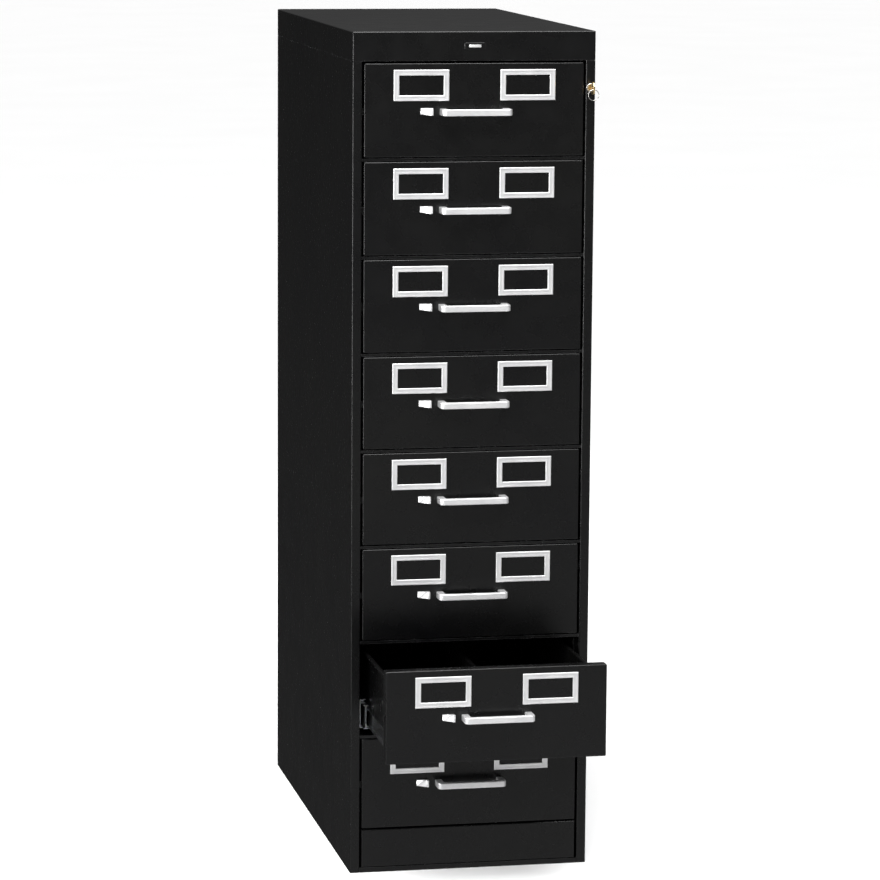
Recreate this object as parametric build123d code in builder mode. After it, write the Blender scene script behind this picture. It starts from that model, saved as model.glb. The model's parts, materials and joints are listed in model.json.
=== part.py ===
"""Eight-drawer steel card file cabinet, millimetres, +Z up.

The origin is the centre of the cabinet's base, on the floor. The fronts face -Y.
Drawer pieces are drawn once, in the drawer's own frame: X across, Y backwards from
the outer face of the front, Z up from the top edge of the front. A loop then sets
each drawer in its place, with one of the eight standing open.
"""

import os

from build123d import *

os.makedirs("parts", exist_ok=True)

# ---- driving dimensions ------------------------------------------------------
WIDTH = 381.0  # 15 in
DEPTH = 724.0  # 28 1/2 in
HEIGHT = 1321.0  # 52 in
SHEET = 1.2  # steel sheet
BEND = 1.4  # bend radius on the middle of the sheet
TOUCH = 0.1  # assembly gap between neighbouring pieces

CAP_HEIGHT = 45.0  # skirt of the top cap, and the header over the drawers
SEAM = 0.6  # open seam between the cap and the wrapper
STILE = 15.0  # visible width of each front stile
STILE_RETURN = 21.0  # how far the stile turns back beside the drawers

DRAWERS = 8
PITCH = 151.0
TOP_GAP = 3.5  # header to the first front
FRONT_HEIGHT = 144.0
SIDE_GAP = 3.2  # stile to the front
PAN_DEPTH = 18.0
PAN_LIP = 12.0
FRONT_BEND = 1.6
FRONT_CORNER = 2.0
OPEN_DRAWER = 7
OPENING = 200.0  # how far the open drawer stands out

SLIDE_SPACE = 12.7  # standard side space of a ball bearing slide
TRAY_LENGTH = 664.0
TRAY_TOP = -17.0
TRAY_BOTTOM = -134.0
ROLLED_EDGE = 5.0
DIVIDER_HEIGHT = 100.0
DIVIDER_WIDTH = 6.0

SLIDE_Z = -114.0  # slide centre under the top edge of the front
OUTER_HEIGHT = 46.0
MIDDLE_HEIGHT = 38.0
RUNNER_HEIGHT = 28.0
SLIDE_START = 20.0  # outer members start this far behind the face
MIDDLE_START = 95.0
SLIDE_END = 670.0

HOLDER_WIDTH = 86.5
HOLDER_HEIGHT = 47.5
HOLDER_RIM = 8.5
HOLDER_DEPTH = 2.4
HOLDER_X = 83.5
HOLDER_TOP = -10.0

PULL_WIDTH = 109.5
PULL_REACH = 28.0
PULL_HEIGHT = 10.0
PULL_BAR = 8.0
PULL_FOOT = 11.0
PULL_Z = -74.5

LATCH_X = -75.5
LATCH_Z = -74.0
LATCH_WIDTH = 18.5
LATCH_TRAVEL = 6.0

KICK_TOP = 69.0
KICK_DEPTH = 20.0
BASE_LIP = 8.0

POST_DEPTH = 40.0
FRONT_POST_START = 27.0  # behind the face
REAR_POST_START = 630.0

RAIL_HEIGHT = 4.0
RAIL_DEPTH = 25.0
RAIL_SETBACK = 1.0

LOCK_Z = 1233.5
KEY_BOW = 10.0  # radius
CAM_RADIUS = 6.0
CAM_THROW = 5.0
CAM_THICKNESS = 1.6
PLUG_RADIUS = 3.5
PIN_RADIUS = 0.8

ANCHOR_X = 300.0
ANCHOR_Y = 600.0
ANCHOR_RADIUS = 5.25

# ---- places worked out from them ---------------------------------------------
HALF_WIDTH = WIDTH / 2
FACE = -DEPTH / 2  # plane of the fronts and stiles
BACK = DEPTH / 2
HALF_SHEET = SHEET / 2
BODY_TOP = HEIGHT - CAP_HEIGHT
OPENING_HALF = HALF_WIDTH - STILE  # inner side of each stile
FRONT_WIDTH = 2 * (OPENING_HALF - SIDE_GAP)
FRONT_HALF = FRONT_WIDTH / 2
TRAY_HALF = FRONT_HALF - SLIDE_SPACE - TOUCH
TRAY_SIDE = TRAY_TOP - TRAY_BOTTOM
TRAY_START = PAN_DEPTH + TOUCH
POST_FACE = FRONT_HALF - TOUCH  # the slides' cabinet members bear here
FIRST_FRONT_TOP = BODY_TOP - TOP_GAP
LOCK_X = OPENING_HALF + STILE / 2


def front_top(number):
    """Height of the top edge of a drawer front, counted from the top."""
    return FIRST_FRONT_TOP - PITCH * (number - 1)


def front_bottom(number):
    return front_top(number) - FRONT_HEIGHT


def opening(number):
    """How far a drawer stands out of the cabinet."""
    return OPENING if number == OPEN_DRAWER else 0.0


def folded(points, radius=BEND, thickness=SHEET, plane=Plane.XY):
    """Section of a folded sheet whose middle runs through the points."""
    with BuildSketch(plane) as section:
        with BuildLine():
            FilletPolyline(*points, radius=radius)
        trace(line_width=thickness)
    return section.sketch


def write(piece, label):
    piece.label = label
    export_step(piece, f"parts/{label}.step")


# ---- wrapper: sides, back and front stiles from one sheet ----------------------
SIDE_MID = HALF_WIDTH - HALF_SHEET
FACE_MID = FACE + HALF_SHEET
RETURN_MID = OPENING_HALF + HALF_SHEET
KEEPER_WIDTH = 8.0
KEEPER_HEIGHT = 16.0
LOCK_HOLE = 5.8

wrapper_line = [
    (-RETURN_MID, FACE + STILE_RETURN),
    (-RETURN_MID, FACE_MID),
    (-SIDE_MID, FACE_MID),
    (-SIDE_MID, -FACE_MID),
    (SIDE_MID, -FACE_MID),
    (SIDE_MID, FACE_MID),
    (RETURN_MID, FACE_MID),
    (RETURN_MID, FACE + STILE_RETURN),
]

with BuildPart() as wrapper:
    extrude(folded(wrapper_line), amount=BODY_TOP - SEAM)
    # keeper slots for the thumb latches, in the left stile's return
    with BuildSketch(Plane.YZ.offset(-RETURN_MID)):
        for number in range(1, DRAWERS + 1):
            with Locations((FACE + STILE_RETURN / 2, front_top(number) + LATCH_Z)):
                Rectangle(KEEPER_WIDTH, KEEPER_HEIGHT)
    extrude(amount=SHEET, both=True, mode=Mode.SUBTRACT)
    # hole for the lock case, in the right stile
    with BuildSketch(Plane.XZ.offset(-FACE)):
        with Locations((LOCK_X, LOCK_Z)):
            Circle(LOCK_HOLE)
    extrude(amount=2 * SHEET, both=True, mode=Mode.SUBTRACT)
write(wrapper.part, "wrapper")


# ---- top cap with the header ---------------------------------------------------
CAP_BEND = 2.0
CAP_EDGE = 1.8
HEADER_FLANGE = 15.0

with BuildPart() as top_cap:
    with BuildSketch(Plane.XY.offset(BODY_TOP)):
        Rectangle(WIDTH, DEPTH)
    extrude(amount=CAP_HEIGHT)
    fillet(top_cap.edges().filter_by(Axis.Z), CAP_BEND)
    fillet(top_cap.faces().sort_by(Axis.Z)[-1].edges(), CAP_EDGE)
    offset(amount=-SHEET, openings=top_cap.faces().sort_by(Axis.Z)[0])
    # lower flange of the header, turned back over the first drawer
    with BuildSketch(Plane.XY.offset(BODY_TOP)):
        with Locations((0, FACE + HEADER_FLANGE / 2 + HALF_SHEET)):
            Rectangle(2 * OPENING_HALF, HEADER_FLANGE - SHEET)
    extrude(amount=SHEET)
write(top_cap.part, "top_cap")


# ---- name plate, blank ---------------------------------------------------------
PLATE_WIDTH = 33.0
PLATE_HEIGHT = 10.0
PLATE_THICKNESS = 1.2
PLATE_CORNER = 2.0
PLATE_EDGE = 0.3

with BuildPart() as name_plate:
    with BuildSketch(Plane.XZ.offset(-FACE)):
        with Locations((0, BODY_TOP + CAP_HEIGHT / 2)):
            RectangleRounded(PLATE_WIDTH, PLATE_HEIGHT, PLATE_CORNER)
    extrude(amount=PLATE_THICKNESS)
    chamfer(name_plate.faces().sort_by(Axis.Y)[0].edges(), PLATE_EDGE)
write(name_plate.part, "name_plate")


# ---- base pan ------------------------------------------------------------------
BASE_HALF = HALF_WIDTH - SHEET - TOUCH
BASE_FRONT = FACE + STILE_RETURN + TOUCH
BASE_BACK = BACK - SHEET - TOUCH
BASE_LIP_HALF = OPENING_HALF - TOUCH
BASE_FLANGE = 25.0

upstand_line = [
    (-BASE_HALF + HALF_SHEET, BASE_FRONT + BEND),
    (-BASE_HALF + HALF_SHEET, BASE_BACK - HALF_SHEET),
    (BASE_HALF - HALF_SHEET, BASE_BACK - HALF_SHEET),
    (BASE_HALF - HALF_SHEET, BASE_FRONT + BEND),
]

with BuildPart() as base_pan:
    with BuildSketch() as base_plan:
        with Locations((0, (BASE_FRONT + BASE_BACK) / 2)):
            Rectangle(2 * BASE_HALF, BASE_BACK - BASE_FRONT)
        fillet(base_plan.vertices(), BEND)
        with Locations((0, (FACE + BASE_FRONT) / 2)):
            Rectangle(2 * BASE_LIP_HALF, BASE_FRONT - FACE)
    extrude(amount=SHEET)
    # front lip, flush with the stiles
    with BuildSketch():
        with Locations((0, FACE + HALF_SHEET)):
            Rectangle(2 * BASE_LIP_HALF, SHEET)
    extrude(amount=BASE_LIP)
    # upstand against the wrapper
    extrude(folded(upstand_line), amount=BASE_FLANGE)
    with BuildSketch():
        with GridLocations(ANCHOR_X, ANCHOR_Y, 2, 2):
            Circle(ANCHOR_RADIUS)
    extrude(amount=SHEET, mode=Mode.SUBTRACT)
write(base_pan.part, "base_pan")


# ---- kick plate ----------------------------------------------------------------
KICK_BOTTOM = BASE_LIP + SEAM

with BuildPart() as kick_plate:
    with BuildSketch(Plane.XY.offset(KICK_BOTTOM)):
        with Locations((0, FACE + KICK_DEPTH / 2)):
            Rectangle(FRONT_WIDTH, KICK_DEPTH)
    extrude(amount=KICK_TOP - KICK_BOTTOM)
    fillet(kick_plate.faces().sort_by(Axis.Y)[0].edges(), FRONT_BEND)
    offset(amount=-SHEET, openings=kick_plate.faces().sort_by(Axis.Y)[-1])
write(kick_plate.part, "kick_plate")


# ---- inner posts, four channels ------------------------------------------------
POST_MID = POST_FACE + HALF_SHEET
POST_OUTER = BASE_HALF - SHEET - TOUCH
POST_TOP = HEIGHT - SHEET - TOUCH

with BuildPart() as inner_posts:
    for start in (FRONT_POST_START, REAR_POST_START):
        near = FACE + start + HALF_SHEET
        far = FACE + start + POST_DEPTH - HALF_SHEET
        for side in (-1, 1):
            channel = [
                (side * POST_OUTER, near),
                (side * POST_MID, near),
                (side * POST_MID, far),
                (side * POST_OUTER, far),
            ]
            foot = Plane.XY.offset(SHEET + TOUCH)
            extrude(folded(channel, plane=foot), amount=POST_TOP - SHEET - TOUCH)
write(inner_posts.part, "inner_posts")


# ---- cross rails between the drawers -------------------------------------------
RAIL_DROP = (PITCH - FRONT_HEIGHT - RAIL_HEIGHT) / 2
RAIL_HALF = OPENING_HALF - TOUCH

with BuildPart() as cross_rails:
    for number in range(1, DRAWERS):
        rail_top = front_bottom(number) - RAIL_DROP
        with BuildSketch(Plane.YZ.offset(-RAIL_HALF)):
            with Locations((FACE + RAIL_SETBACK, rail_top - RAIL_HEIGHT)):
                Rectangle(RAIL_DEPTH, RAIL_HEIGHT, align=(Align.MIN, Align.MIN))
            with Locations((FACE + RAIL_SETBACK + SHEET, rail_top - RAIL_HEIGHT + SHEET)):
                Rectangle(
                    RAIL_DEPTH,
                    RAIL_HEIGHT - 2 * SHEET,
                    align=(Align.MIN, Align.MIN),
                    mode=Mode.SUBTRACT,
                )
    extrude(amount=2 * RAIL_HALF)
write(cross_rails.part, "cross_rails")


# ---- slide members -------------------------------------------------------------
# Each section is drawn for the right side, in the drawer's frame, across X and Z.
# The flanges of one member reach between those of the next, with room for the balls.
SLIDE_SHEET = 1.2
SLIDE_BEND = 1.0
OUTER_WEB = POST_FACE - SLIDE_SHEET / 2
OUTER_REACH = 8.6
MIDDLE_OFFSET = 7.4
MIDDLE_WEB = TRAY_HALF + MIDDLE_OFFSET
MIDDLE_REACH = 3.0
RUNNER_GAP = 0.2
RUNNER_WEB = TRAY_HALF + RUNNER_GAP + SLIDE_SHEET / 2
RUNNER_REACH = 5.0
RUNNER_END = SLIDE_END - SLIDE_START


def slide_channel(web, reach, height, side, start, end):
    """A channel between two depths behind the face, standing on its web."""
    half = height / 2 - SLIDE_SHEET / 2
    line = [
        (side * (web + reach), SLIDE_Z + half),
        (side * web, SLIDE_Z + half),
        (side * web, SLIDE_Z - half),
        (side * (web + reach), SLIDE_Z - half),
    ]
    with BuildPart() as member:
        section = folded(line, SLIDE_BEND, SLIDE_SHEET, Plane.XZ.offset(-start))
        extrude(section, amount=-(end - start))
    return member.part


def middle_member(side):
    """Two channels back to back, which share one web."""
    flange_z = (MIDDLE_HEIGHT - SLIDE_SHEET) / 2
    web_x = side * MIDDLE_WEB
    with BuildPart() as member:
        with BuildSketch(Plane.XZ.offset(-MIDDLE_START)):
            with Locations((web_x, SLIDE_Z)):
                Rectangle(SLIDE_SHEET, MIDDLE_HEIGHT)
            with Locations((web_x, SLIDE_Z - flange_z), (web_x, SLIDE_Z + flange_z)):
                Rectangle(2 * MIDDLE_REACH + SLIDE_SHEET, SLIDE_SHEET)
        extrude(amount=-(SLIDE_END - MIDDLE_START))
    return member.part


outer_members = []
middle_members = []
runners = []
for side in (-1, 1):
    outer_members.append(
        slide_channel(OUTER_WEB, -OUTER_REACH, OUTER_HEIGHT, side, SLIDE_START, SLIDE_END)
    )
    middle_members.append(middle_member(side))
    runners.append(
        slide_channel(RUNNER_WEB, RUNNER_REACH, RUNNER_HEIGHT, side, TRAY_START, RUNNER_END)
    )

drawer_levels = [(0, FACE, front_top(number)) for number in range(1, DRAWERS + 1)]

with BuildPart() as slide_rails:
    with Locations(*drawer_levels):
        add(outer_members)
write(slide_rails.part, "slide_rails")


# ---- lock ----------------------------------------------------------------------
BEZEL_RADIUS = 6.8
BEZEL_DEPTH = 2.4
BEZEL_EDGE = 0.8
BARREL_RADIUS = 5.6
BARREL_DEPTH = 18.0
PLUG_GAP = 0.05  # running fit
CAM_START = 19.0  # behind the face
PIN_LENGTH = 4.0
KEY_THICKNESS = 1.2
KEY_BLADE = 5.4
KEY_SLOT_GAP = 0.1
KEY_DEPTH = 14.0
KEY_NECK = 3.0
KEY_HOLE = 2.5
BOW_THICKNESS = 2.0

lock_plane = Plane.XZ.offset(-FACE)

with BuildPart() as lock_case:
    with BuildSketch(lock_plane):
        with Locations((LOCK_X, LOCK_Z)):
            Circle(BEZEL_RADIUS)
    extrude(amount=BEZEL_DEPTH)
    fillet(lock_case.faces().sort_by(Axis.Y)[0].edges(), BEZEL_EDGE)
    with BuildSketch(lock_plane):
        with Locations((LOCK_X, LOCK_Z)):
            Circle(BARREL_RADIUS)
    extrude(amount=-BARREL_DEPTH)
    with BuildSketch(lock_plane):
        with Locations((LOCK_X, LOCK_Z)):
            Circle(PLUG_RADIUS + PLUG_GAP)
    extrude(amount=BARREL_DEPTH, both=True, mode=Mode.SUBTRACT)
write(lock_case.part, "lock_case")

with BuildPart() as lock_plug:
    with BuildSketch(lock_plane.offset(BEZEL_DEPTH)):
        with Locations((LOCK_X, LOCK_Z)):
            Circle(PLUG_RADIUS)
    extrude(amount=-(BEZEL_DEPTH + CAM_START + CAM_THICKNESS))
    with BuildSketch(lock_plane.offset(-CAM_START)):
        with Locations((LOCK_X, LOCK_Z)):
            Circle(CAM_RADIUS)
    extrude(amount=-CAM_THICKNESS)
    # crank pin that lifts the bar, standing to the left at rest
    with BuildSketch(lock_plane.offset(-CAM_START - CAM_THICKNESS)):
        with Locations((LOCK_X - CAM_THROW, LOCK_Z)):
            Circle(PIN_RADIUS)
    extrude(amount=-PIN_LENGTH)
    # key way
    with BuildSketch(lock_plane.offset(BEZEL_DEPTH)):
        with Locations((LOCK_X, LOCK_Z)):
            Rectangle(KEY_THICKNESS + 2 * KEY_SLOT_GAP, KEY_BLADE + 2 * KEY_SLOT_GAP)
    extrude(amount=-(KEY_DEPTH + KEY_SLOT_GAP), mode=Mode.SUBTRACT)
write(lock_plug.part, "lock_plug")

BOW_Y = FACE - BEZEL_DEPTH - KEY_NECK - KEY_BOW

with BuildPart() as lock_key:
    with BuildSketch(Plane.YZ.offset(LOCK_X)):
        with Locations((FACE - BEZEL_DEPTH + KEY_DEPTH, LOCK_Z)):
            Rectangle(KEY_DEPTH + KEY_NECK + KEY_BOW, KEY_BLADE, align=(Align.MAX, Align.CENTER))
    extrude(amount=KEY_THICKNESS / 2, both=True)
    with BuildSketch(Plane.YZ.offset(LOCK_X)):
        with Locations((BOW_Y, LOCK_Z)):
            Circle(KEY_BOW)
        with Locations((BOW_Y + KEY_BOW / 2 + KEY_NECK / 2, LOCK_Z)):
            Rectangle(KEY_BOW, KEY_BOW)
    extrude(amount=BOW_THICKNESS / 2, both=True)
    with BuildSketch(Plane.YZ.offset(LOCK_X)):
        with Locations((BOW_Y - KEY_BOW / 2, LOCK_Z)):
            Circle(KEY_HOLE)
    extrude(amount=BOW_THICKNESS, both=True, mode=Mode.SUBTRACT)
write(lock_key.part, "lock_key")

BAR_WIDTH = 11.6
BAR_THICKNESS = 2.0
BAR_BOTTOM = 60.0
BAR_TOP = 1256.0
BAR_GAP = 1.2
BAR_START = CAM_START + CAM_THICKNESS + BAR_GAP
BAR_LEFT = LOCK_X - BAR_WIDTH / 2
FINGER_REACH = 3.2
FINGER_HEIGHT = 12.0
FINGER_DROP = 40.0
SLOT_HEIGHT = 5.0

with BuildPart() as lock_bar:
    with BuildSketch(lock_plane.offset(-BAR_START)):
        with Locations((BAR_LEFT, BAR_BOTTOM)):
            Rectangle(BAR_WIDTH, BAR_TOP - BAR_BOTTOM, align=(Align.MIN, Align.MIN))
        # fingers that stand in the drawers' way once the bar is lifted
        for number in range(1, DRAWERS + 1):
            with Locations((BAR_LEFT, front_top(number) - FINGER_DROP)):
                Rectangle(FINGER_REACH, FINGER_HEIGHT, align=(Align.MAX, Align.CENTER))
        # slot in which the crank pin runs
        with Locations((BAR_LEFT, LOCK_Z)):
            Rectangle(
                BAR_WIDTH / 2 + CAM_THROW / 2,
                SLOT_HEIGHT,
                align=(Align.MIN, Align.CENTER),
                mode=Mode.SUBTRACT,
            )
    extrude(amount=-BAR_THICKNESS)
write(lock_bar.part, "lock_bar")


# ---- drawer front, a folded pan ------------------------------------------------
# in the drawer's frame: face at Y = 0, top edge at Z = 0
STEM_HEIGHT = 4.0
STEM_WIDTH = 6.0
STEM_GAP = 0.5
BOLT_HEIGHT = 10.0
BOLT_THICKNESS = 2.0
BOLT_Y = 7.0

pan_middle = -FRONT_HEIGHT / 2

with BuildPart() as drawer_front:
    with BuildSketch(Plane.XZ):
        with Locations((0, pan_middle)):
            Rectangle(FRONT_WIDTH, FRONT_HEIGHT)
    extrude(amount=-PAN_DEPTH)
    fillet(drawer_front.edges().filter_by(Axis.Y), FRONT_CORNER)
    fillet(drawer_front.faces().sort_by(Axis.Y)[0].edges(), FRONT_BEND)
    offset(amount=-SHEET, openings=drawer_front.faces().sort_by(Axis.Y)[-1])
    # lips turned in behind, which the tray is fixed to
    with BuildSketch(Plane.XZ.offset(-PAN_DEPTH)):
        with Locations((0, pan_middle)):
            Rectangle(FRONT_WIDTH - 2 * SHEET, FRONT_HEIGHT - 2 * SHEET)
            Rectangle(
                FRONT_WIDTH - 2 * PAN_LIP,
                FRONT_HEIGHT - 2 * PAN_LIP,
                mode=Mode.SUBTRACT,
            )
    extrude(amount=SHEET)
    # slot for the stem of the thumb latch
    with BuildSketch(Plane.XZ):
        with Locations((LATCH_X + LATCH_TRAVEL / 2, LATCH_Z)):
            Rectangle(STEM_WIDTH + LATCH_TRAVEL + 2 * STEM_GAP, STEM_HEIGHT + 2 * STEM_GAP)
    extrude(amount=-2 * SHEET, mode=Mode.SUBTRACT)
    # window for the latch bolt, in the left flange
    with BuildSketch(Plane.YZ.offset(-FRONT_HALF)):
        with Locations((BOLT_Y + BOLT_THICKNESS / 2, LATCH_Z)):
            Rectangle(BOLT_THICKNESS + 2 * STEM_GAP, BOLT_HEIGHT + 2 * STEM_GAP)
    extrude(amount=2 * SHEET, mode=Mode.SUBTRACT)


# ---- tray, its divider and its two slide runners -------------------------------
ROLL_LIP = 3.0
DIVIDER_END_GAP = 0.3
DIVIDER_BEND = 1.2


def tray_pan():
    """Open tray with an outward rolled edge along each side."""
    side_mid = TRAY_HALF - HALF_SHEET
    roll = side_mid + ROLLED_EDGE
    section = [
        (-roll, TRAY_TOP - ROLL_LIP),
        (-roll, TRAY_TOP - HALF_SHEET),
        (-side_mid, TRAY_TOP - HALF_SHEET),
        (-side_mid, TRAY_BOTTOM + HALF_SHEET),
        (side_mid, TRAY_BOTTOM + HALF_SHEET),
        (side_mid, TRAY_TOP - HALF_SHEET),
        (roll, TRAY_TOP - HALF_SHEET),
        (roll, TRAY_TOP - ROLL_LIP),
    ]
    with BuildPart() as pan:
        extrude(folded(section, plane=Plane.XZ.offset(-TRAY_START)), amount=-TRAY_LENGTH)
        for wall in (0.0, TRAY_LENGTH - SHEET):
            with BuildSketch(Plane.XZ.offset(-TRAY_START - wall)):
                with Locations((0, TRAY_BOTTOM)):
                    Rectangle(2 * TRAY_HALF - SHEET, TRAY_SIDE, align=(Align.CENTER, Align.MIN))
            extrude(amount=-SHEET)
    return pan.part


def tray_divider():
    """Inverted channel between the two rows of cards, standing on the tray's floor."""
    foot = TRAY_BOTTOM + SHEET + TOUCH
    half = DIVIDER_WIDTH / 2
    crown = foot + DIVIDER_HEIGHT
    section = [
        (-half, foot),
        (-half, crown),
        (half, crown),
        (half, foot),
    ]
    start = TRAY_START + SHEET + DIVIDER_END_GAP
    with BuildPart() as divider:
        outline = folded(section, DIVIDER_BEND, plane=Plane.XZ.offset(-start))
        extrude(outline, amount=-(TRAY_LENGTH - 2 * SHEET - 2 * DIVIDER_END_GAP))
    return divider.part


tray_pieces = [tray_pan(), tray_divider(), *runners]

with BuildPart() as drawer_tray:
    add(tray_pieces)


# ---- intermediate slide members ------------------------------------------------
with BuildPart() as drawer_slides:
    add(middle_members)


# ---- label holders -------------------------------------------------------------
GROOVE_WIDTH = 3.4
GROOVE_DEPTH = 0.7
HOLDER_EDGE = 0.9

holder_z = HOLDER_TOP - HOLDER_HEIGHT / 2

with BuildPart() as label_holders:
    with BuildSketch(Plane.XZ):
        with Locations((-HOLDER_X, holder_z), (HOLDER_X, holder_z)):
            Rectangle(HOLDER_WIDTH, HOLDER_HEIGHT)
            Rectangle(
                HOLDER_WIDTH - 2 * HOLDER_RIM,
                HOLDER_HEIGHT - 2 * HOLDER_RIM,
                mode=Mode.SUBTRACT,
            )
    extrude(amount=HOLDER_DEPTH)
    fillet(label_holders.faces().filter_by(Axis.Y).group_by(Axis.Y)[0].edges(), HOLDER_EDGE)
    # shallow groove around the middle of the rim
    with BuildSketch(Plane.XZ.offset(HOLDER_DEPTH)):
        with Locations((-HOLDER_X, holder_z), (HOLDER_X, holder_z)):
            Rectangle(
                HOLDER_WIDTH - HOLDER_RIM + GROOVE_WIDTH,
                HOLDER_HEIGHT - HOLDER_RIM + GROOVE_WIDTH,
            )
            Rectangle(
                HOLDER_WIDTH - HOLDER_RIM - GROOVE_WIDTH,
                HOLDER_HEIGHT - HOLDER_RIM - GROOVE_WIDTH,
                mode=Mode.SUBTRACT,
            )
    extrude(amount=-GROOVE_DEPTH, mode=Mode.SUBTRACT)


# ---- bridge handle -------------------------------------------------------------
PULL_CORNER = 6.5
PULL_INNER_CORNER = 3.0
PULL_EDGE = 1.5

with BuildPart() as drawer_handle:
    with BuildSketch(Plane.XY.offset(PULL_Z - PULL_HEIGHT / 2)) as pull_plan:
        with Locations((0, -PULL_REACH / 2)):
            Rectangle(PULL_WIDTH, PULL_REACH)
        fillet(pull_plan.vertices().group_by(Axis.Y)[0], PULL_CORNER)
        with BuildSketch(mode=Mode.SUBTRACT) as finger_gap:
            with Locations((0, -(PULL_REACH - PULL_BAR) / 2)):
                Rectangle(PULL_WIDTH - 2 * PULL_FOOT, PULL_REACH - PULL_BAR)
            fillet(finger_gap.vertices().group_by(Axis.Y)[0], PULL_INNER_CORNER)
    extrude(amount=PULL_HEIGHT)
    rims = drawer_handle.faces().filter_by(Axis.Z).edges()
    fillet(rims.filter_by_position(Axis.Y, -PULL_REACH, -PULL_EDGE / 2), PULL_EDGE)


# ---- thumb latch ---------------------------------------------------------------
PAD_GAP = 0.4
PAD_LOW = 3.6
PAD_HIGH = 6.0
PAD_LEDGE = 9.5
LEDGE_WIDTH = 3.8
PAD_HEIGHT = 11.0
PAD_SLANT = 1.9
BOLT_END_GAP = 0.6
LEDGE_SLOPE = 1.0
OVERCUT = 1.0
PAD_EDGE = 0.8

pad_left = LATCH_X - LATCH_WIDTH / 2
pad_right = LATCH_X + LATCH_WIDTH / 2
ledge_left = pad_right - LEDGE_WIDTH
pad_bottom = LATCH_Z - PAD_HEIGHT / 2
bolt_tip = -OPENING_HALF + BOLT_END_GAP

with BuildPart() as drawer_latch:
    # thumb pad, seen from above: a ramp that ends in a raised ledge
    with BuildSketch(Plane.XY.offset(pad_bottom)):
        with BuildLine():
            Polyline(
                (pad_left, -PAD_GAP),
                (pad_left, -PAD_LOW),
                (ledge_left, -PAD_HIGH),
                (ledge_left + LEDGE_SLOPE, -PAD_LEDGE),
                (pad_right, -PAD_LEDGE),
                (pad_right, -PAD_GAP),
                close=True,
            )
        make_face()
    extrude(amount=PAD_HEIGHT)
    # lower edge rises towards the left
    with BuildSketch(Plane.XZ):
        with BuildLine():
            Polyline(
                (pad_left - OVERCUT, pad_bottom - OVERCUT),
                (pad_left - OVERCUT, pad_bottom + PAD_SLANT),
                (pad_left, pad_bottom + PAD_SLANT),
                (ledge_left, pad_bottom),
                (ledge_left, pad_bottom - OVERCUT),
                close=True,
            )
        make_face()
    extrude(amount=PAD_LEDGE + OVERCUT, mode=Mode.SUBTRACT)
    fillet(drawer_latch.faces().sort_by(Axis.Y)[0].edges(), PAD_EDGE)
    # stem through the front
    with BuildSketch(Plane.XZ.offset(PAD_LOW / 2)):
        with Locations((LATCH_X, LATCH_Z)):
            Rectangle(STEM_WIDTH, STEM_HEIGHT)
    extrude(amount=-(PAD_LOW / 2 + BOLT_Y + BOLT_THICKNESS))
    # bolt that runs inside the front to the keeper in the stile
    with BuildSketch(Plane.XZ.offset(-BOLT_Y)):
        with Locations((bolt_tip, LATCH_Z)):
            Rectangle(
                LATCH_X + STEM_WIDTH / 2 - bolt_tip,
                BOLT_HEIGHT,
                align=(Align.MIN, Align.CENTER),
            )
    extrude(amount=-BOLT_THICKNESS)


# ---- eight drawers, each in its place ------------------------------------------
# every piece rides out by its share of the drawer's opening
DRAWER_PIECES = [
    ("front", drawer_front, 1.0),
    ("tray", drawer_tray, 1.0),
    ("slides", drawer_slides, 0.5),
    ("label_holders", label_holders, 1.0),
    ("handle", drawer_handle, 1.0),
    ("latch", drawer_latch, 1.0),
]

for number in range(1, DRAWERS + 1):
    for piece_name, drawn, share in DRAWER_PIECES:
        place = (0, FACE - share * opening(number), front_top(number))
        with BuildPart() as placed:
            with Locations(place):
                add(drawn.part)
        write(placed.part, f"drawer_{number}_{piece_name}")
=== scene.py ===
"""Looks of the eight-drawer card file cabinet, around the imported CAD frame. Metres, +Z up."""

import json
import math

import bmesh
import bpy
from mathutils import Matrix, Vector


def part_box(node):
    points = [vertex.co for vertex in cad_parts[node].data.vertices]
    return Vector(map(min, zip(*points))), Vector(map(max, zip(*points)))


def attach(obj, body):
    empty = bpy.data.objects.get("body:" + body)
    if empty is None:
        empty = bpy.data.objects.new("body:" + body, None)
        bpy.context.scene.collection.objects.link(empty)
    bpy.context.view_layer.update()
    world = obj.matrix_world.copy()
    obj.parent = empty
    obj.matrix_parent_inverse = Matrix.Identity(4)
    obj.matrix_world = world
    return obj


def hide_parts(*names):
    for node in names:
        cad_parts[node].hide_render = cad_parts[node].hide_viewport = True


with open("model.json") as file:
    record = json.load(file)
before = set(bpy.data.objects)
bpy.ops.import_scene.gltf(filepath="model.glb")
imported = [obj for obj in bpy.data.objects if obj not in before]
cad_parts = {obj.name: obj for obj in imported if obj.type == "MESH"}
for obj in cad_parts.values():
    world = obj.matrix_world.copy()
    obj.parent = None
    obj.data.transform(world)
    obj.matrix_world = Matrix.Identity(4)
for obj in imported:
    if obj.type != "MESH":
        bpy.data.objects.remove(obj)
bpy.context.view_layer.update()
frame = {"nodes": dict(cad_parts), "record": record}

MM = 0.001
SIDES = (-1, 1)
DRAWERS = range(1, 1 + sum(node.endswith("_front") for node in frame["nodes"]))


# ---- shader building blocks ------------------------------------------------------
def feed(tree, socket, value):
    """Links an input to another node's output, or sets it to a number or a colour."""
    if isinstance(value, bpy.types.NodeSocket):
        tree.links.new(value, socket)
    elif hasattr(value, "__len__"):
        socket.default_value = (*value, 1.0)
    else:
        socket.default_value = value


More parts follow.
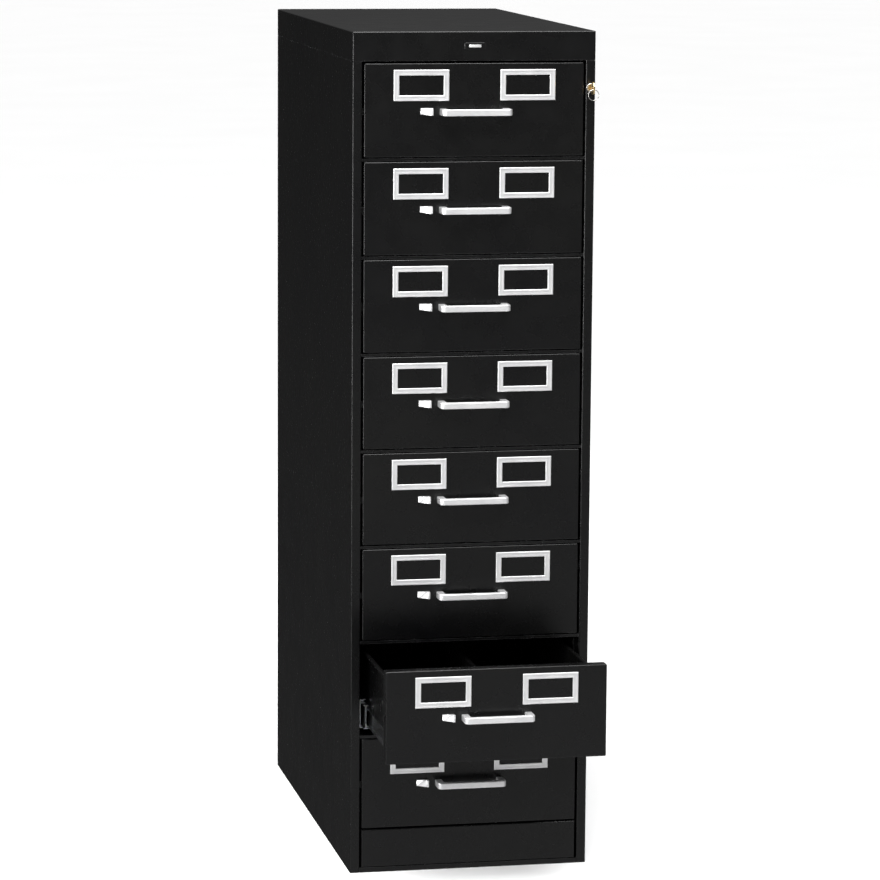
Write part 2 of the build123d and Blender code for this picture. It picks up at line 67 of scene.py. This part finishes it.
def add_ramp(tree, value, stops):
    """Colours or greys at positions along a value from 0 to 1."""
    node = tree.nodes.new("ShaderNodeValToRGB")
    elements = node.color_ramp.elements
    while len(elements) < len(stops):
        elements.new(0.5)
    for element, (position, shade) in zip(elements, stops):
        element.position = position
        rgb = shade if hasattr(shade, "__len__") else (shade,) * 3
        element.color = (*rgb, 1.0)
    tree.links.new(value, node.inputs["Fac"])
    return node.outputs["Color"]


def add_mix(tree, factor, first, second, blend="MIX"):
    """A mix of two colours, each of them a constant or another node's output."""
    node = tree.nodes.new("ShaderNodeMix")
    node.data_type = "RGBA"
    node.blend_type = blend
    for name, value in (("Factor", factor), ("A", first), ("B", second)):
        feed(tree, next(s for s in node.inputs if s.name == name and s.enabled), value)
    return next(s for s in node.outputs if s.enabled)


class Shader:
    """A Principled material whose textures read the object's own coordinates, in metres."""

    def __init__(self, name):
        self.material = bpy.data.materials.new(name)
        self.material.use_nodes = True
        self.tree = self.material.node_tree
        self.place = self.node("TexCoord").outputs["Object"]

    def node(self, kind):
        return self.tree.nodes.new(f"ShaderNode{kind}")

    def stretched(self, scale):
        """The object's coordinates with a scale of their own for each axis."""
        mapping = self.node("Mapping")
        mapping.inputs["Scale"].default_value = scale
        self.tree.links.new(self.place, mapping.inputs["Vector"])
        return mapping.outputs["Vector"]

    def noise(self, scale, detail=2.0, vector=None):
        node = self.node("TexNoise")
        node.inputs["Scale"].default_value = scale
        node.inputs["Detail"].default_value = detail
        self.tree.links.new(vector or self.place, node.inputs["Vector"])
        return node.outputs["Fac"]

    def cells(self, scale):
        node = self.node("TexVoronoi")
        node.inputs["Scale"].default_value = scale
        self.tree.links.new(self.place, node.inputs["Vector"])
        return node.outputs["Color"]

    def ramp(self, value, *stops):
        return add_ramp(self.tree, value, stops)

    def mix(self, factor, first, second, blend="MIX"):
        return add_mix(self.tree, factor, first, second, blend)

    def product(self, first, second):
        node = self.node("Math")
        node.operation = "MULTIPLY"
        self.tree.links.new(first, node.inputs[0])
        self.tree.links.new(second, node.inputs[1])
        return node.outputs["Value"]

    def edges(self, radius, low, high):
        """1 on an edge sharper than the radius, 0 on flat faces."""
        rounded = self.node("Bevel")
        rounded.samples = 4
        rounded.inputs["Radius"].default_value = radius
        flat = self.node("NewGeometry")
        facing = self.node("VectorMath")
        facing.operation = "DOT_PRODUCT"
        self.tree.links.new(rounded.outputs["Normal"], facing.inputs[0])
        self.tree.links.new(flat.outputs["True Normal"], facing.inputs[1])
        return self.ramp(facing.outputs["Value"], (low, 1.0), (high, 0.0))

    def bump(self, height, strength, distance, below=None):
        """A bumped normal, on top of another one if it is given."""
        node = self.node("Bump")
        node.inputs["Strength"].default_value = strength
        node.inputs["Distance"].default_value = distance
        self.tree.links.new(height, node.inputs["Height"])
        if below:
            self.tree.links.new(below, node.inputs["Normal"])
        return node.outputs["Normal"]

    def finished(self, **inputs):
        """The material, its surface's inputs set by name with _ for each space."""
        surface = self.tree.nodes["Principled BSDF"]
        for name, value in inputs.items():
            feed(self.tree, surface.inputs[name.replace("_", " ")], value)
        return self.material


# ---- materials -------------------------------------------------------------------
def black_enamel():
    """Baked semi-gloss enamel: near black, faint orange peel, dust, and lighter edges that are
    partly worn paint and partly a painted highlight of the bends.
    """
    s = Shader("black_enamel")
    black, lighter_black = (0.0011, 0.0011, 0.0013), (0.0020, 0.0020, 0.0019)
    # the light edge grey is partly worn paint, partly a painted highlight on the bends
    dust_grey, wear_and_highlight_grey = (0.018, 0.018, 0.017), (0.060, 0.060, 0.062)
    drift = s.ramp(s.noise(3.0, 3.0), (0.35, black), (0.7, lighter_black))
    dust = s.ramp(s.noise(900.0, 1.0), (0.70, 0.0), (0.78, 0.4))
    dusty = s.mix(dust, drift, dust_grey)
    patches = s.ramp(s.noise(60.0, 3.0), (0.40, 0.25), (0.65, 0.9))
    # painted highlight and wear: sharp bends, in patches, get the lighter grey base in place of
    # the light that they catch
    wear_and_painted_highlight = s.product(s.edges(0.8 * MM, 0.80, 0.985), patches)
    colour = s.mix(wear_and_painted_highlight, dusty, wear_and_highlight_grey)
    rough = s.ramp(s.noise(22.0, 4.0), (0.3, 0.24), (0.7, 0.31))
    peel = s.bump(s.noise(520.0, 2.0), 0.10, 0.12 * MM)
    roll = s.bump(s.noise(9.0, 2.0), 0.10, 1.2 * MM, peel)
    return s.finished(
        Base_Color=colour, Roughness=rough, Normal=roll, Specular_IOR_Level=0.42, Metallic=0.0,
    )


def bright_aluminium():
    """Satin anodised aluminium, brushed along its length."""
    s = Shader("bright_aluminium")
    hairs = s.noise(1.0, 4.0, s.stretched((60.0, 2600.0, 2600.0)))
    tone = s.ramp(s.noise(35.0, 3.0), (0.3, (0.80, 0.80, 0.81)), (0.7, (0.90, 0.90, 0.90)))
    scuffs = s.ramp(s.noise(260.0, 2.0), (0.68, 0.0), (0.76, 0.35))
    colour = s.mix(scuffs, tone, (0.62, 0.62, 0.63))
    rough = s.ramp(hairs, (0.25, 0.30), (0.75, 0.44))
    brushed = s.bump(hairs, 0.12, 0.05 * MM)
    return s.finished(Base_Color=colour, Roughness=rough, Normal=brushed, Metallic=0.80)


def zinc_steel():
    """Rolled steel strip with bright zinc plate."""
    s = Shader("zinc_steel")
    spangle = s.mix(0.16, (0.50, 0.51, 0.52), s.cells(420.0), "OVERLAY")
    smears = s.ramp(s.noise(18.0, 4.0), (0.4, 0.0), (0.75, 0.5))
    colour = s.mix(smears, spangle, (0.34, 0.34, 0.33))
    drawn = s.noise(1.0, 3.0, s.stretched((1500.0, 12.0, 1500.0)))
    rough = s.ramp(drawn, (0.25, 0.14), (0.75, 0.26))
    lines = s.bump(drawn, 0.06, 0.05 * MM)
    return s.finished(Base_Color=colour, Roughness=rough, Normal=lines, Metallic=1.0)


def brass():
    """Polished brass, a little tarnished, brighter on its rubbed edges."""
    s = Shader("brass")
    tone = s.ramp(s.noise(240.0, 4.0), (0.35, (0.86, 0.66, 0.34)), (0.7, (0.70, 0.50, 0.22)))
    rubbed = s.mix(s.edges(0.5 * MM, 0.7, 0.98), tone, (0.95, 0.80, 0.50))
    rough = s.ramp(s.noise(500.0, 2.0), (0.3, 0.20), (0.7, 0.36))
    grain = s.bump(s.noise(900.0, 2.0), 0.08, 0.05 * MM)
    return s.finished(Base_Color=rubbed, Roughness=rough, Normal=grain, Metallic=1.0)


def nickel():
    """Bright nickel plate."""
    s = Shader("nickel")
    tone = s.ramp(s.noise(150.0, 3.0), (0.3, (0.72, 0.70, 0.66)), (0.7, (0.82, 0.80, 0.77)))
    rough = s.ramp(s.noise(700.0, 2.0), (0.3, 0.14), (0.7, 0.26))
    grain = s.bump(s.noise(1200.0, 2.0), 0.05, 0.04 * MM)
    return s.finished(Base_Color=tone, Roughness=rough, Normal=grain, Metallic=1.0)


def floor_paper():
    """Seamless pale studio paper."""
    s = Shader("floor_paper")
    tone = s.ramp(s.noise(1.5, 3.0), (0.3, 0.90), (0.7, 0.915))
    grain = s.bump(s.noise(300.0, 2.0), 0.05, 0.2 * MM)
    return s.finished(Base_Color=tone, Roughness=0.9, Normal=grain, Specular_IOR_Level=0.0)


MATERIALS = {m.__name__: m() for m in (black_enamel, bright_aluminium, zinc_steel, brass, nickel)}


def finish_with(piece, slot):
    piece.data.materials.clear()
    piece.data.materials.append(MATERIALS[slot])


for row in frame["record"]["subparts"]:
    finish_with(frame["nodes"][row["node"]], row["material_slot"])


# ---- mesh building blocks --------------------------------------------------------
CREASE = math.radians(35)  # an edge that bends more than this stays sharp
WELD = 0.001 * MM


def new_piece(name, mesh, body, slot, smooth=True):
    """A mesh as an object that rides on a body, with its finish."""
    piece = bpy.data.objects.new(name, mesh)
    bpy.context.scene.collection.objects.link(piece)
    finish_with(piece, slot)
    for face in mesh.polygons:
        face.use_smooth = smooth
    if smooth:
        mesh.set_sharp_from_angle(angle=CREASE)
    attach(piece, body)
    return piece


def to_mesh(name, shape):
    mesh = bpy.data.meshes.new(name)
    bmesh.ops.recalc_face_normals(shape, faces=shape.faces)
    shape.to_mesh(mesh)
    shape.free()
    return mesh


def add_block(shape, low, high, edge):
    """A box between two corners, its edges rounded by the given radius."""
    low, high = Vector(low), Vector(high)
    place = Matrix.Translation((low + high) / 2) @ Matrix.Diagonal((*(high - low), 1.0))
    made = bmesh.ops.create_cube(shape, size=1.0, matrix=place)
    rims = list({e for v in made["verts"] for e in v.link_edges})
    bmesh.ops.bevel(shape, geom=rims, offset=edge, segments=2, affect="EDGES", profile=0.5)


def add_ball(shape, centre, radius):
    place = Matrix.Translation(centre)
    bmesh.ops.create_icosphere(shape, subdivisions=2, radius=radius, matrix=place)


def add_dome(shape, centre, radius, rise):
    """A rivet head that stands out along X on both sides of its centre."""
    place = Matrix.Translation(centre) @ Matrix.Diagonal((rise / radius, 1.0, 1.0, 1.0))
    bmesh.ops.create_uvsphere(shape, u_segments=20, v_segments=10, radius=radius, matrix=place)


def add_ring(shape, centre, radius, wire, turns=56, sides=12):
    """A ring of round wire that stands in the XZ plane."""
    loops = []
    for i in range(turns):
        turn = 2 * math.pi * i / turns
        out = Vector((math.cos(turn), 0, math.sin(turn)))
        loop = []
        for j in range(sides):
            round_wire = 2 * math.pi * j / sides
            from_centre = out * (radius + wire * math.cos(round_wire))
            aside = Vector((0, wire * math.sin(round_wire), 0))
            loop.append(shape.verts.new(Vector(centre) + from_centre + aside))
        loops.append(loop)
    for i in range(turns):
        here, there = loops[i], loops[(i + 1) % turns]
        for j in range(sides):
            k = (j + 1) % sides
            shape.faces.new((here[j], here[k], there[k], there[j]))


# ---- trays: enamel pan and divider, zinc runners ----------------------------------
RUNNER_TALL = 60 * MM  # a drawer member is lower than this, the tray and divider taller


def islands(mesh):
    """The mesh's separate solids, as sets of vertex numbers."""
    joined = list(range(len(mesh.vertices)))

    def root(i):
        while joined[i] != i:
            joined[i] = joined[joined[i]]
            i = joined[i]
        return i

    places = {}
    for vertex in mesh.vertices:
        key = tuple(round(c, 6) for c in vertex.co)
        joined[root(vertex.index)] = root(places.setdefault(key, vertex.index))
    for edge in mesh.edges:
        joined[root(edge.vertices[0])] = root(edge.vertices[1])
    groups = {}
    for i in range(len(mesh.vertices)):
        groups.setdefault(root(i), set()).add(i)
    return list(groups.values())


def copied(node, name, keep):
    """A copy of a CAD node's mesh that has only the given vertices."""
    mesh = frame["nodes"][node].data.copy()
    mesh.name = name
    shape = bmesh.new()
    shape.from_mesh(mesh)
    gone = [v for v in shape.verts if v.index not in keep]
    bmesh.ops.delete(shape, geom=gone, context="VERTS")
    shape.to_mesh(mesh)
    shape.free()
    return mesh


def split_tray(drawer):
    """Shows a drawer's tray and divider in enamel and its slide runners in zinc plate."""
    node = f"{drawer}_tray"
    whole = frame["nodes"][node].data
    enamelled, plated = set(), set()
    for island in islands(whole):
        heights = [whole.vertices[i].co.z for i in island]
        group = plated if max(heights) - min(heights) < RUNNER_TALL else enamelled
        group.update(island)
    halves = (("tray_and_divider", enamelled, "black_enamel"), ("runners", plated, "zinc_steel"))
    for name, keep, slot in halves:
        mesh = copied(node, name, keep)
        piece = new_piece(f"{drawer}_{name}", mesh, drawer, slot, smooth=False)
        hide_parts(node)


for number in DRAWERS:
    split_tray(f"drawer_{number}")


# ---- thumb latches: bright pad, dark stem and bolt ---------------------------------
PAD_BACK = 0.2 * MM  # the pad is cut from its stem this far in front of the drawer front


def split_latch(drawer):
    """Shows a latch's pad in aluminium, and its stem and bolt in enamel."""
    node = f"{drawer}_latch"
    cut_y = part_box(f"{drawer}_front")[0].y - PAD_BACK
    halves = (("pad", True, "bright_aluminium"), ("bolt", False, "black_enamel"))
    for name, keeps_front, slot in halves:
        shape = bmesh.new()
        shape.from_mesh(frame["nodes"][node].data)
        bmesh.ops.remove_doubles(shape, verts=shape.verts, dist=WELD)
        everything = shape.verts[:] + shape.edges[:] + shape.faces[:]
        bmesh.ops.bisect_plane(
            shape, geom=everything, plane_co=(0, cut_y, 0), plane_no=(0, 1, 0),
            clear_outer=keeps_front, clear_inner=not keeps_front,
        )
        rim = [edge for edge in shape.edges if edge.is_boundary]
        bmesh.ops.holes_fill(shape, edges=rim)
        piece = new_piece(f"{node}_{name}", to_mesh(name, shape), node, slot)
        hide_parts(node)


for number in DRAWERS:
    split_latch(f"drawer_{number}")


# ---- balls and cages of the slides --------------------------------------------------
SLIDE_DROP = 114 * MM  # slide centre under the top edge of a front
INNER_ROW = {"rise": 15.9 * MM, "near": 163.0 * MM, "far": 166.0 * MM, "ball": 1.8 * MM}
OUTER_ROW = {"rise": 20.4 * MM, "near": 164.5 * MM, "far": 169.9 * MM, "ball": 1.3 * MM}
CAGE_SET_BACK = 2 * MM  # behind the front end of the member that it runs in
CAGE_LENGTH = 108 * MM
CAGE_HALF = 0.4 * MM
CAGE_EDGE = 0.15 * MM
BALL_STEP = 12 * MM


def add_cages(name, body, row, front_y, centre_z):
    """Both sides' ball cages, above and below the slide's centre."""
    shape = bmesh.new()
    for side in SIDES:
        low_x, high_x = sorted((side * row["near"], side * row["far"]))
        for level in (-row["rise"], row["rise"]):
            z = centre_z + level
            low = (low_x, front_y, z - CAGE_HALF)
            high = (high_x, front_y + CAGE_LENGTH, z + CAGE_HALF)
            add_block(shape, low, high, CAGE_EDGE)
            for step in range(int(CAGE_LENGTH / BALL_STEP)):
                y = front_y + (step + 0.5) * BALL_STEP
                add_ball(shape, ((low_x + high_x) / 2, y, z), row["ball"])
    new_piece(name, to_mesh(name, shape), body, "zinc_steel")


for number in DRAWERS:
    drawer = f"drawer_{number}"
    slide_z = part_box(f"{drawer}_front")[1].z - SLIDE_DROP
    member_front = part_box(f"{drawer}_slides")[0].y + CAGE_SET_BACK
    rail_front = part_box("slide_rails")[0].y + CAGE_SET_BACK
    add_cages(f"{drawer}_inner_cages", f"{drawer}_slides", INNER_ROW, member_front, slide_z)
    add_cages(f"{drawer}_outer_cages", "cabinet", OUTER_ROW, rail_front, slide_z)


# ---- rivets that hold the runners to the tray's sides --------------------------------
RIVET_DROP = 69 * MM  # under the top edge of a front
RIVET_PLACES = (95 * MM, 560 * MM)  # behind the face of a front
RIVET_RADIUS, RIVET_RISE = 3.2 * MM, 1.2 * MM
TRAY_WALL = 159.5 * MM

for number in DRAWERS:
    drawer = f"drawer_{number}"
    front_low, front_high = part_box(f"{drawer}_front")
    rivet_z = front_high.z - RIVET_DROP
    heads = bmesh.new()
    for side in SIDES:
        for behind in RIVET_PLACES:
            centre = (side * TRAY_WALL, front_low.y + behind, rivet_z)
            add_dome(heads, centre, RIVET_RADIUS, RIVET_RISE)
    new_piece(f"{drawer}_rivets", to_mesh("rivets", heads), drawer, "black_enamel")


# ---- plain bar on the name plate ------------------------------------------------------
BAR_HALF_WIDTH, BAR_HALF_HEIGHT = 9.5 * MM, 2.0 * MM
BAR_OUT, BAR_IN = 0.6 * MM, 0.3 * MM  # in front of the plate's face, and sunk in it
BAR_EDGE = 0.35 * MM

plate_low, plate_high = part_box("name_plate")
plate_x, plate_z = (plate_low.x + plate_high.x) / 2, (plate_low.z + plate_high.z) / 2
bar = bmesh.new()
add_block(
    bar,
    (plate_x - BAR_HALF_WIDTH, plate_low.y - BAR_OUT, plate_z - BAR_HALF_HEIGHT),
    (plate_x + BAR_HALF_WIDTH, plate_low.y + BAR_IN, plate_z + BAR_HALF_HEIGHT),
    BAR_EDGE,
)
new_piece("name_plate_bar", to_mesh("bar", bar), "cabinet", "bright_aluminium")


# ---- the key's ring, which hangs from the hole in the bow -------------------------------
RING_RADIUS, RING_WIRE = 8.2 * MM, 0.6 * MM
HOLE_BEHIND = 5.0 * MM  # the bow's hole, behind its front end
HOLE_RADIUS = 2.5 * MM

key_low, key_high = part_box("lock_key")
ring_x, ring_y = (key_low.x + key_high.x) / 2, key_low.y + HOLE_BEHIND
ring_top = (key_low.z + key_high.z) / 2 - HOLE_RADIUS + RING_WIRE
ring = bmesh.new()
add_ring(ring, (ring_x, ring_y, ring_top - RING_RADIUS), RING_RADIUS, RING_WIRE)
new_piece("key_ring", to_mesh("ring", ring), "lock_cylinder", "nickel")


# ---- camera ----------------------------------------------------------------------------
CAMERA_PLACE = Vector((-1.2406, -6.1970, 1.6361))
CAMERA_YAW = math.radians(11.527)
CAMERA_PITCH = math.radians(-9.046)
CAMERA_ROLL = -0.0070
CAMERA_LENS = 158.6
CAMERA_SENSOR = 36.0
CAMERA_REACH = 200.0


def add_camera():
    """The photo's viewing angle: from the front and left, a little above."""
    ahead = Vector((
        math.sin(CAMERA_YAW) * math.cos(CAMERA_PITCH),
        math.cos(CAMERA_YAW) * math.cos(CAMERA_PITCH),
        math.sin(CAMERA_PITCH),
    ))
    level = ahead.cross(Vector((0, 0, 1))).normalized()
    over = level.cross(ahead)
    right = level * math.cos(CAMERA_ROLL) - over * math.sin(CAMERA_ROLL)
    up = level * math.sin(CAMERA_ROLL) + over * math.cos(CAMERA_ROLL)
    data = bpy.data.cameras.new("camera")
    data.lens = CAMERA_LENS
    data.sensor_width = CAMERA_SENSOR
    data.clip_end = CAMERA_REACH
    camera = bpy.data.objects.new("camera", data)
    turn = Matrix((right, up, -ahead)).transposed().to_4x4()
    camera.matrix_world = Matrix.Translation(CAMERA_PLACE) @ turn
    bpy.context.scene.collection.objects.link(camera)
    bpy.context.scene.camera = camera


# ---- floor and light ---------------------------------------------------------------------
FLOOR_HALF = 90.0
SUN_STRENGTH, SUN_ANGLE = 3.2, math.radians(75)
SUN_TILT = (math.radians(28), math.radians(-18), 0)

# greys that the gloss mirrors, by the height of the direction from -1 down to 1 up
FRONT_GLOW = ((-1.0, 0.50), (-0.28, 0.60), (-0.15, 0.26), (-0.06, 0.03), (0.1, 0.03), (1.0, 0.30))
BACK_GLOW = ((-1.0, 0.20), (-0.26, 0.05), (-0.04, 0.02), (0.2, 0.10), (1.0, 0.35))
FRONT_TO_BACK = ((-0.3, 0.0), (0.3, 1.0))
WHITE = (1.0, 1.0, 1.0)

# name, place, point aimed at, width and height, watts
SOFTBOXES = (
    ("overhead", (-0.3, -0.6, 3.4), (0, 0, 0.8), (2.2, 2.2), 110),
    ("front_high", (0.2, -3.0, 4.2), (0, -0.3, 0.7), (3.0, 0.9), 120),
    ("left_strip", (-3.2, -0.9, 1.2), (0, 0, 0.8), (0.6, 2.2), 60),
    ("front_left_strip", (-3.2, -3.4, 1.0), (0, -0.3, 0.7), (0.5, 2.2), 60),
    ("front_key", (-1.6, -4.2, 2.8), (0, -0.3, 0.7), (2.4, 1.8), 65),
)


def add_floor():
    """A wide sheet of pale paper, which the gloss doesn't mirror."""
    shape = bmesh.new()
    bmesh.ops.create_grid(shape, x_segments=1, y_segments=1, size=FLOOR_HALF)
    mesh = to_mesh("floor", shape)
    floor = bpy.data.objects.new("floor", mesh)
    bpy.context.scene.collection.objects.link(floor)
    mesh.materials.append(floor_paper())
    floor.visible_glossy = False


def add_sun():
    """Broad even light on the floor, which the gloss doesn't mirror."""
    data = bpy.data.lights.new("sky_panel", "SUN")
    data.energy = SUN_STRENGTH
    data.angle = SUN_ANGLE
    lamp = bpy.data.objects.new("sky_panel", data)
    lamp.rotation_euler = SUN_TILT
    lamp.visible_glossy = False
    bpy.context.scene.collection.objects.link(lamp)


def add_softbox(name, place, aim, size, watts):
    data = bpy.data.lights.new(name, "AREA")
    data.shape = "RECTANGLE"
    data.size, data.size_y = size
    data.energy = watts
    lamp = bpy.data.objects.new(name, data)
    lamp.location = place
    lamp.rotation_euler = (Vector(aim) - Vector(place)).to_track_quat("-Z", "Y").to_euler()
    lamp.visible_camera = False
    bpy.context.scene.collection.objects.link(lamp)


def add_world():
    """White to the camera; to the gloss a dim studio, lighter low down in front."""
    world = bpy.data.worlds.new("studio")
    bpy.context.scene.world = world
    world.use_nodes = True
    tree = world.node_tree
    direction = tree.nodes.new("ShaderNodeSeparateXYZ")
    generated = tree.nodes.new("ShaderNodeTexCoord").outputs["Generated"]
    tree.links.new(generated, direction.inputs["Vector"])

    def graded(axis, stops):
        """Greys at places from -1 to 1 along an axis of the direction."""
        spread = tree.nodes.new("ShaderNodeMapRange")
        spread.inputs["From Min"].default_value = -1.0
        tree.links.new(direction.outputs[axis], spread.inputs["Value"])
        positions = [((place + 1.0) / 2.0, grey) for place, grey in stops]
        return add_ramp(tree, spread.outputs["Result"], positions)

    front, back = graded("Z", FRONT_GLOW), graded("Z", BACK_GLOW)
    studio = add_mix(tree, graded("Y", FRONT_TO_BACK), front, back)
    camera_ray = tree.nodes.new("ShaderNodeLightPath").outputs["Is Camera Ray"]
    colour = add_mix(tree, camera_ray, studio, WHITE)
    tree.links.new(colour, tree.nodes["Background"].inputs["Color"])


add_camera()
add_floor()
add_sun()
add_world()
for softbox in SOFTBOXES:
    add_softbox(*softbox)

bpy.context.scene.view_settings.view_transform = "Standard"
